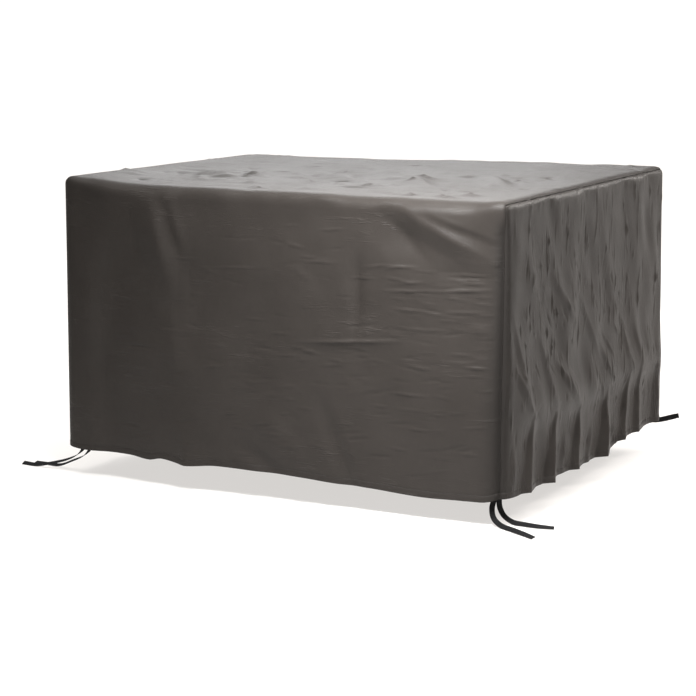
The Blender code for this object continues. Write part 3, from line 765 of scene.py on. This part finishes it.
def end_panel(name, side, hem_table, folds, pulls, sharp, seed, count, columns):
    place, sunk = places(HALF_Y, SEAM_GAP, columns)
    if side < 0:
        place, sunk = place[::-1], sunk[::-1]
    hem = along(hem_table, place)
    z = upright_heights(hem, count)[:-1]
    above = np.full((3, len(place)), -SEAM_GAP)
    y = np.repeat(place[None, :], len(z) + 3, axis=0)
    z = np.vstack((z, above))
    deep = np.maximum(sunk[None, :], np.concatenate((np.zeros(len(z) - 3), ALLOWANCE))[:, None])
    push = fold_height(folds, y, z)
    push += slack(seed, y, z, 0.30, 0.0040, math.radians(25), 1.6)
    push += slack(seed + 10, y, z, 0.11, 0.0018, math.radians(15), 1.4)
    push *= calm(y, HALF_Y)
    push += fold_height(pulls, y, z, point=1.25) * calm(y, HALF_Y, 0.03)
    push += fold_height(sharp, y, z, point=2.0) * calm(y, HALF_Y, 0.03)
    push *= ease(-z / EDGE_CALM)
    push += edge_puckers(seed, y, -z) * calm(y, HALF_Y, 0.03)
    if side > 0:
        push += corner_groove(HALF_Y + y + 0.014, z)
    push += hem_relief(seed, y, z - hem[None, :])
    push += seam_roll(np.maximum(HALF_Y - np.abs(y), 0.0)) + seam_roll(-z)
    push -= deep
    points = drape(side * HALF_X, y, z, push)
    hem_lines.append(points[STITCH_ROW, 5:-5])
    flat = np.stack((y * side, z), axis=-1)
    to_seam = np.minimum(np.maximum(HALF_Y - np.abs(y), 0.0), -z)
    # Painted shade: darker colour at the seams and, less, in a band along the hem.
    painted_shade = seam_shade_and_hem_band(to_seam, z - hem[None, :])
    # Painted shade on the right end beside the front right seam, below the top edge.
    end_groove_shade = 0.9 * np.exp(-((HALF_Y + y) / 0.038) ** 2) * ease((-z - 0.02) / 0.08) * (side > 0)
    return cloth_grid(name, points, flat, np.maximum(painted_shade, end_groove_shade))


right = end_panel(
    "end_cloth_right", 1, RIGHT_HEM, RIGHT_FOLDS, RIGHT_PULLS, RIGHT_CRINKLES, 201, 142, 290)
left = end_panel(
    "end_cloth_left", -1, LEFT_HEM, LEFT_FOLDS, (), LEFT_CRINKLES, 202, 70, 150)

# %% [markdown]
# ## Hem stitches
#
# A lockstitch runs round the hem, 20 mm above its edge, and holds the turned cloth. One stitch is a
# short piece of thread. Copies of it are laid end to end along each panel's stitch line, turned to
# the cloth, and joined into one piece.

# %% Hem stitches
STITCH_PITCH = 0.0042     # from one stitch to the next
STITCH_LONG = 0.0032
THREAD = 0.0010           # thickness of the thread

stitch = added("stitch", bpy.ops.mesh.primitive_cylinder_add, vertices=6, radius=THREAD / 2,
               depth=STITCH_LONG, rotation=(0.0, math.radians(90), 0.0))
bpy.ops.object.transform_apply(location=False, rotation=True, scale=False)
copies = []
for line in hem_lines:
    steps = np.linalg.norm(np.diff(line, axis=0), axis=1)
    lengths = np.concatenate(([0.0], np.cumsum(steps)))
    count = int(lengths[-1] / STITCH_PITCH)
    even = (np.arange(count + 1) + 0.5) * lengths[-1] / (count + 1)
    spots = np.stack([np.interp(even, lengths, column) for column in line.T], axis=-1)
    runs = np.gradient(spots, axis=0)
    for spot, run in zip(spots, runs):
        out = Vector((run[1], -run[0], 0.0)).normalized()
        if out.x * spot[0] + out.y * spot[1] < 0:
            out.negate()
        copy = stitch.copy()
        copy.location = Vector(spot) + out * THREAD * 0.25
        copy.rotation_euler = Vector(run).to_track_quat("X", "Z").to_euler()
        bpy.context.collection.objects.link(copy)
        copies.append(copy)
bpy.ops.object.select_all(action="DESELECT")
for copy in copies:
    copy.select_set(True)
bpy.context.view_layer.objects.active = copies[0]
bpy.ops.object.join()
stitches = bpy.context.object
stitches.name = "hem_stitches"
bpy.data.objects.remove(stitch)
bpy.ops.object.transform_apply(location=True, rotation=True, scale=True)
print("stitches", len(copies), "triangles", sum(len(p.vertices) - 2 for p in stitches.data.polygons))

# %% [markdown]
# ## The ties
#
# At each corner one narrow black tape is sewn inside the hem at its middle, so two tails hang from
# it. A tail is a strip of grid laid along a smooth line through the rows of its route; each row
# gives a point and the way the tape's width points there, which is how the tape twists.

# %% Tie routes
TAPE_WIDTH = 0.018
TAPE_THICK = 0.0014
TAPE_STEP = 0.003         # length of one row of the strip's grid
REST = FEET + TAPE_THICK

Tie = namedtuple("Tie", "name route")
TIES = (
    Tie("tie_front_right_a", (
        (0.797, -0.667, -0.925, 0.88, 0.47, 0.0), (0.791, -0.669, -0.955, 0.88, 0.47, 0.0),
        (0.785, -0.672, -0.988, 0.85, 0.52, 0.1), (0.793, -0.675, -1.018, 0.66, 0.60, 0.45),
        (0.824, -0.688, REST + 0.008, 0.38, 0.62, 0.70), (0.877, -0.718, REST + 0.007, 0.38, 0.66, 0.66),
        (0.926, -0.745, REST + 0.006, 0.42, 0.74, 0.52), (0.972, -0.769, REST + 0.003, 0.45, 0.85, 0.28))),
    Tie("tie_front_right_b", (
        (0.802, -0.650, -0.925, 0.88, 0.47, 0.0), (0.799, -0.648, -0.955, 0.88, 0.47, 0.0),
        (0.799, -0.642, -0.988, 0.82, 0.56, 0.1), (0.811, -0.632, -1.018, 0.45, 0.76, 0.45),
        (0.840, -0.628, REST + 0.008, 0.00, 0.72, 0.70), (0.882, -0.634, REST + 0.007, 0.08, 0.74, 0.66),
        (0.930, -0.634, REST + 0.006, -0.05, 0.84, 0.52), (0.979, -0.618, REST + 0.003, -0.20, 0.94, 0.28))),
    Tie("tie_front_left_a", (
        (-0.790, -0.662, -0.922, 0.70, 0.70, 0.0), (-0.799, -0.658, -0.948, 0.55, 0.80, 0.2),
        (-0.832, -0.649, -0.978, 0.30, 0.90, 0.35), (-0.886, -0.638, -1.003, 0.10, 0.90, 0.42),
        (-0.952, -0.630, -1.023, 0.05, 0.90, 0.42), (-1.022, -0.626, REST + 0.005, 0.0, 0.88, 0.48),
        (-1.090, -0.622, REST + 0.005, 0.0, 0.85, 0.52))),
    Tie("tie_front_left_b", (
        (-0.776, -0.640, -0.922, 0.70, 0.70, 0.0), (-0.786, -0.634, -0.952, 0.55, 0.80, 0.2),
        (-0.824, -0.621, -0.986, 0.30, 0.90, 0.35), (-0.884, -0.608, -1.013, 0.10, 0.90, 0.42),
        (-0.945, -0.598, REST + 0.007, 0.05, 0.92, 0.38), (-1.005, -0.590, REST + 0.004, 0.05, 0.95, 0.30),
        (-1.062, -0.584, REST + 0.003, 0.05, 0.97, 0.25))),
    Tie("tie_back_right_a", (
        (0.790, 0.640, -0.905, 0.20, -0.10, 1.0), (0.806, 0.660, -0.924, 0.20, 0.0, 1.0),
        (0.826, 0.684, -0.934, 0.10, 0.0, 1.0), (0.850, 0.710, -0.933, 0.0, 0.0, 1.0),
        (0.876, 0.733, -0.927, 0.0, 0.0, 1.0), (0.898, 0.750, -0.921, 0.0, 0.0, 1.0))),
    Tie("tie_back_right_b", (
        (0.780, 0.650, -0.905, 0.20, -0.10, 1.0), (0.796, 0.670, -0.925, 0.20, 0.0, 1.0),
        (0.816, 0.694, -0.936, 0.10, 0.0, 1.0), (0.838, 0.720, -0.936, 0.0, 0.0, 1.0),
        (0.862, 0.743, -0.931, 0.0, 0.0, 1.0), (0.882, 0.760, -0.926, 0.0, 0.0, 1.0))),
    Tie("tie_back_left_a", (
        (-0.790, 0.650, -0.915, 0.75, 0.65, 0.0), (-0.796, 0.660, -0.948, 0.75, 0.65, 0.0),
        (-0.808, 0.676, -0.984, 0.78, 0.60, 0.1), (-0.826, 0.699, -1.015, 0.80, 0.55, 0.2),
        (-0.850, 0.729, REST + 0.006, 0.78, 0.58, 0.30), (-0.880, 0.764, REST + 0.004, 0.78, 0.60, 0.25),
        (-0.908, 0.798, REST + 0.002, 0.78, 0.62, 0.15))),
    Tie("tie_back_left_b", (
        (-0.776, 0.652, -0.915, 0.75, 0.65, 0.0), (-0.778, 0.663, -0.948, 0.80, 0.60, 0.0),
        (-0.784, 0.684, -0.986, 0.92, 0.35, 0.1), (-0.790, 0.711, -1.017, 0.97, 0.20, 0.2),
        (-0.797, 0.745, REST + 0.006, 0.96, 0.15, 0.30), (-0.802, 0.786, REST + 0.004, 0.97, 0.12, 0.25),
        (-0.805, 0.828, REST + 0.002, 0.98, 0.10, 0.15))),
)


def curve_through(route, step):
    """Evenly spaced rows on a smooth curve through the rows of a route, and its length."""
    rows = np.array(route, float)
    padded = np.vstack((2 * rows[:1] - rows[1:2], rows, 2 * rows[-1:] - rows[-2:-1]))
    fine = []
    for a, b, c, d in zip(padded, padded[1:], padded[2:], padded[3:]):
        for t in np.arange(12) / 12:
            fine.append(0.5 * (2 * b + (c - a) * t + (2 * a - 5 * b + 4 * c - d) * t ** 2
                               + (3 * b - a - 3 * c + d) * t ** 3))
    fine = np.vstack((fine, rows[-1:]))
    steps = np.linalg.norm(np.diff(fine[:, :3], axis=0), axis=1)
    lengths = np.concatenate(([0.0], np.cumsum(steps)))
    even = np.linspace(0, lengths[-1], max(8, round(lengths[-1] / step)) + 1)
    return np.stack([np.interp(even, lengths, column) for column in fine.T], axis=-1), lengths[-1]


def tape(tie):
    """One tail of tape along its route, as a strip of grid with its thickness added."""
    rows, length = curve_through(tie.route, TAPE_STEP)
    middle = rows[:, :3]
    run = np.gradient(middle, axis=0)
    face = np.cross(run, rows[:, 3:])
    face /= np.linalg.norm(face, axis=1, keepdims=True)
    over = np.cross(face, run)
    over /= np.linalg.norm(over, axis=1, keepdims=True)
    lanes = np.linspace(-0.5, 0.5, 7)
    points = middle[:, None, :] + over[:, None, :] * (lanes * TAPE_WIDTH)[None, :, None]
    distance = np.linspace(0, length, len(rows))
    flat = np.stack(np.meshgrid(lanes * TAPE_WIDTH, distance), axis=-1)
    strip = thin_grid(tie.name + "_tape", points, flat, TAPE_THICK, 0.0)
    bpy.ops.object.shade_smooth_by_angle(angle=math.radians(50))
    print(strip.name, "length", round(length, 3))
    return strip, middle, length


tails = {tie.name: tape(tie) for tie in TIES}

# %% [markdown]
# ## The cloth's finish
#
# The cloth is a plain weave with a thin, slightly shiny coating. Three things are shared by every
# panel, so each is a node group that works on the panel's own flat place in metres: the weave, the
# fine crinkles that are too small for the mesh, and a slow mottling of the colour. The crinkles are
# noise squeezed across the direction the cloth was packed in, with its mid line turned into sharp
# ridges.

# %% Shared groups
def new_group(name, inputs, outputs):
    group = bpy.data.node_groups.new(name, "ShaderNodeTree")
    for label, kind, value in inputs:
        socket = group.interface.new_socket(label, in_out="INPUT", socket_type=kind)
        if value is not None:
            socket.default_value = value
    for label, kind in outputs:
        group.interface.new_socket(label, in_out="OUTPUT", socket_type=kind)
    return group, group.nodes.new("NodeGroupInput"), group.nodes.new("NodeGroupOutput")


def math_node(tree, operation, first, second=None, clamp=False):
    node = tree.nodes.new("ShaderNodeMath")
    node.operation = operation
    node.use_clamp = clamp
    for socket, value in zip(node.inputs, (first, second)):
        if isinstance(value, (int, float)):
            socket.default_value = value
        elif value is not None:
            tree.links.new(value, socket)
    return node.outputs[0]


def stretched(tree, vector, scale):
    node = tree.nodes.new("ShaderNodeVectorMath")
    node.operation = "MULTIPLY"
    tree.links.new(vector, node.inputs[0])
    node.inputs[1].default_value = scale
    return node.outputs[0]


def noise(tree, vector, scale, detail, rough=0.5, warp=0.0):
    node = tree.nodes.new("ShaderNodeTexNoise")
    node.noise_dimensions = "2D"
    tree.links.new(vector, node.inputs["Vector"])
    node.inputs["Scale"].default_value = scale
    node.inputs["Detail"].default_value = detail
    node.inputs["Roughness"].default_value = rough
    node.inputs["Distortion"].default_value = warp
    return node.outputs["Fac"]


def ridges(tree, value, width):
    """Sharp ridges where a noise passes its middle value."""
    away = math_node(tree, "ABSOLUTE", math_node(tree, "SUBTRACT", value, 0.5))
    near = math_node(tree, "SUBTRACT", 1.0, math_node(tree, "DIVIDE", away, width), clamp=True)
    return math_node(tree, "POWER", near, 2.0)


weave_group, given, result = new_group(
    "plain_weave", [("Flat", "NodeSocketVector", None), ("Pitch", "NodeSocketFloat", 0.0014)],
    [("Height", "NodeSocketFloat")])
split = weave_group.nodes.new("ShaderNodeSeparateXYZ")
weave_group.links.new(given.outputs["Flat"], split.inputs[0])
turns = math_node(weave_group, "DIVIDE", 2 * math.pi, given.outputs["Pitch"])
waves = [
    math_node(weave_group, "SINE", math_node(weave_group, "MULTIPLY", split.outputs[k], turns))
    for k in (0, 1)
]
weave_group.links.new(math_node(weave_group, "MULTIPLY", *waves), result.inputs["Height"])

crinkle_group, given, result = new_group(
    "packed_crinkles", [("Flat", "NodeSocketVector", None)], [("Height", "NodeSocketFloat")])
LINES = (    # squeeze along and across, detail, warp, ridge width, share
    (3.5, 55.0, 1.0, 0.15, 0.11, 0.9),
    (14.0, 80.0, 1.0, 0.25, 0.12, 0.6),
    (12.0, 18.0, 3.0, 0.80, 0.05, 0.4),
)
total = 0.0
for along_scale, across_scale, detail, warp, wide, share in LINES:
    flat = stretched(crinkle_group, given.outputs["Flat"], (along_scale, across_scale, 1.0))
    line = ridges(crinkle_group, noise(crinkle_group, flat, 1.0, detail, 0.5, warp), wide)
    total = math_node(crinkle_group, "ADD", math_node(crinkle_group, "MULTIPLY", line, share), total)
for along_scale, across_scale, steep in ((3.0, 6.0, 5.0), (13.0, 45.0, 7.0)):
    where = noise(crinkle_group, stretched(
        crinkle_group, given.outputs["Flat"], (along_scale, across_scale, 1.0)), 1.0, 2.0)
    patch = math_node(crinkle_group, "MULTIPLY", math_node(
        crinkle_group, "SUBTRACT", where, 0.49), steep, clamp=True)
    total = math_node(crinkle_group, "MULTIPLY", total, patch)
crinkle_group.links.new(total, result.inputs["Height"])

tone_group, given, result = new_group(
    "slow_mottling", [("Flat", "NodeSocketVector", None)], [("Tone", "NodeSocketFloat")])
broad = noise(tone_group, given.outputs["Flat"], 4.0, 3.0, 0.6)
fine = noise(tone_group, given.outputs["Flat"], 60.0, 3.0, 0.6)
tone = math_node(tone_group, "ADD", math_node(tone_group, "MULTIPLY", broad, 0.7),
                 math_node(tone_group, "MULTIPLY", fine, 0.3))
tone_group.links.new(tone, result.inputs["Tone"])
print("groups", [group.name for group in bpy.data.node_groups])

# %% [markdown]
# ## Two cloth materials
#
# The body and the ends are the same cloth, cut at right angles to each other: the body's crinkles
# run along its length and the ends' run upright. So the two materials differ only in how the flat
# place is turned before it goes into the groups.

# %% Cloth materials
CLOTH_DARK = (0.0209, 0.0180, 0.0161)
CLOTH_PALE = (0.0315, 0.0275, 0.0248)
# Tint for the painted shade at the seams and beside the front right seam, and for the darker band along the
# hem.
PAINTED_SHADE_TINT = (0.52, 0.52, 0.52)
WEAVE_DEPTH = 0.00006
TAPE_WEAVE_DEPTH = 0.0002
TAPE_PITCH = 0.0018


def mixed(tree, blend, factor, second):
    """A mix node with its factor linked and its second colour set."""
    node = tree.nodes.new("ShaderNodeMix")
    node.data_type = "RGBA"
    node.blend_type = blend
    node.inputs["B"].default_value = (*second, 1.0)
    tree.links.new(factor, node.inputs["Factor"])
    return node


def relief(tree, height, distance):
    """A bump node for a height in metres."""
    node = tree.nodes.new("ShaderNodeBump")
    node.inputs["Distance"].default_value = distance
    tree.links.new(height, node.inputs["Height"])
    return node


def cloth_material(name, upright, crinkle_depth):
    material = bpy.data.materials.new(name)
    material.use_nodes = True
    tree = material.node_tree
    shader = tree.nodes["Principled BSDF"]
    shader.inputs["Metallic"].default_value = 0.0
    shader.inputs["Specular IOR Level"].default_value = 0.15
    place = tree.nodes.new("ShaderNodeUVMap")
    place.uv_map = "UVMap"
    turned = tree.nodes.new("ShaderNodeMapping")
    turned.inputs["Rotation"].default_value = (0.0, 0.0, math.radians(90 if upright else 0))
    tree.links.new(place.outputs["UV"], turned.inputs["Vector"])
    flat = turned.outputs["Vector"]

    def group(data):
        node = tree.nodes.new("ShaderNodeGroup")
        node.node_tree = data
        tree.links.new(flat, node.inputs["Flat"])
        return node.outputs[0]

    crinkle = group(crinkle_group)
    weave = group(weave_group)
    tone = group(tone_group)
    # The crinkles' crests are painted paler: partly wear on the coating, partly painted sheen.
    crest_wear_and_sheen = math_node(tree, "MULTIPLY", crinkle, 0.35)
    share = math_node(tree, "ADD", tone, crest_wear_and_sheen, clamp=True)
    colour = mixed(tree, "MIX", share, CLOTH_PALE)
    colour.inputs["A"].default_value = (*CLOTH_DARK, 1.0)
    # Painted shade: this mask darkens the colour at the seams, beside the front right seam and along the hem,
    # and also makes the cloth less shiny there.
    painted_shade = tree.nodes.new("ShaderNodeAttribute")
    painted_shade.attribute_name = "painted_shade"
    darker = mixed(tree, "MULTIPLY", painted_shade.outputs["Fac"], PAINTED_SHADE_TINT)
    tree.links.new(colour.outputs["Result"], darker.inputs["A"])
    tree.links.new(darker.outputs["Result"], shader.inputs["Base Color"])
    shine = math_node(tree, "ADD", math_node(tree, "MULTIPLY", tone, 0.16), 0.34)
    dull = math_node(tree, "MULTIPLY", painted_shade.outputs["Fac"], 0.35)
    tree.links.new(math_node(tree, "ADD", shine, dull), shader.inputs["Roughness"])
    first = relief(tree, crinkle, crinkle_depth)
    second = relief(tree, weave, WEAVE_DEPTH)
    tree.links.new(first.outputs["Normal"], second.inputs["Normal"])
    tree.links.new(second.outputs["Normal"], shader.inputs["Normal"])
    return material


body.data.materials.append(cloth_material("coated_cloth_along", False, 0.0010))
for panel in (right, left):
    panel.data.materials.append(cloth_material("coated_cloth_upright", True, 0.0018))
tape_cloth = plain_material("tie_tape", (0.004, 0.004, 0.0045), 0.8)
tree = tape_cloth.node_tree
tape_shader = tree.nodes["Principled BSDF"]
tape_shader.inputs["Specular IOR Level"].default_value = 0.15
strip_place = tree.nodes.new("ShaderNodeUVMap")
strip_place.uv_map = "UVMap"
strip_weave = tree.nodes.new("ShaderNodeGroup")
strip_weave.node_tree = weave_group
strip_weave.inputs["Pitch"].default_value = TAPE_PITCH
tree.links.new(strip_place.outputs["UV"], strip_weave.inputs["Flat"])
strip_relief = relief(tree, strip_weave.outputs["Height"], TAPE_WEAVE_DEPTH)
tree.links.new(strip_relief.outputs["Normal"], tape_shader.inputs["Normal"])
stitches.data.materials.append(plain_material("hem_thread", (0.016, 0.0135, 0.012), 0.7))
for strip, middle, length in tails.values():
    strip.data.materials.append(tape_cloth)
print("materials", [m.name for m in bpy.data.materials])

# %% [markdown]
# ## Hand over
#
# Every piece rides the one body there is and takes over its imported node.

for panel, node, flat in (
    (body, "body_panel", (2 * HALF_X, 2 * HALF_Y + 1.90)),
    (right, "end_panel_right", (2 * HALF_Y, 0.95)),
    (left, "end_panel_left", (2 * HALF_Y, 0.945)),
):
    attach(panel, "root")
    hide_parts(node)
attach(stitches, "root")
for name, (strip, middle, length) in tails.items():
    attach(strip, "root")
    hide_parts(name)
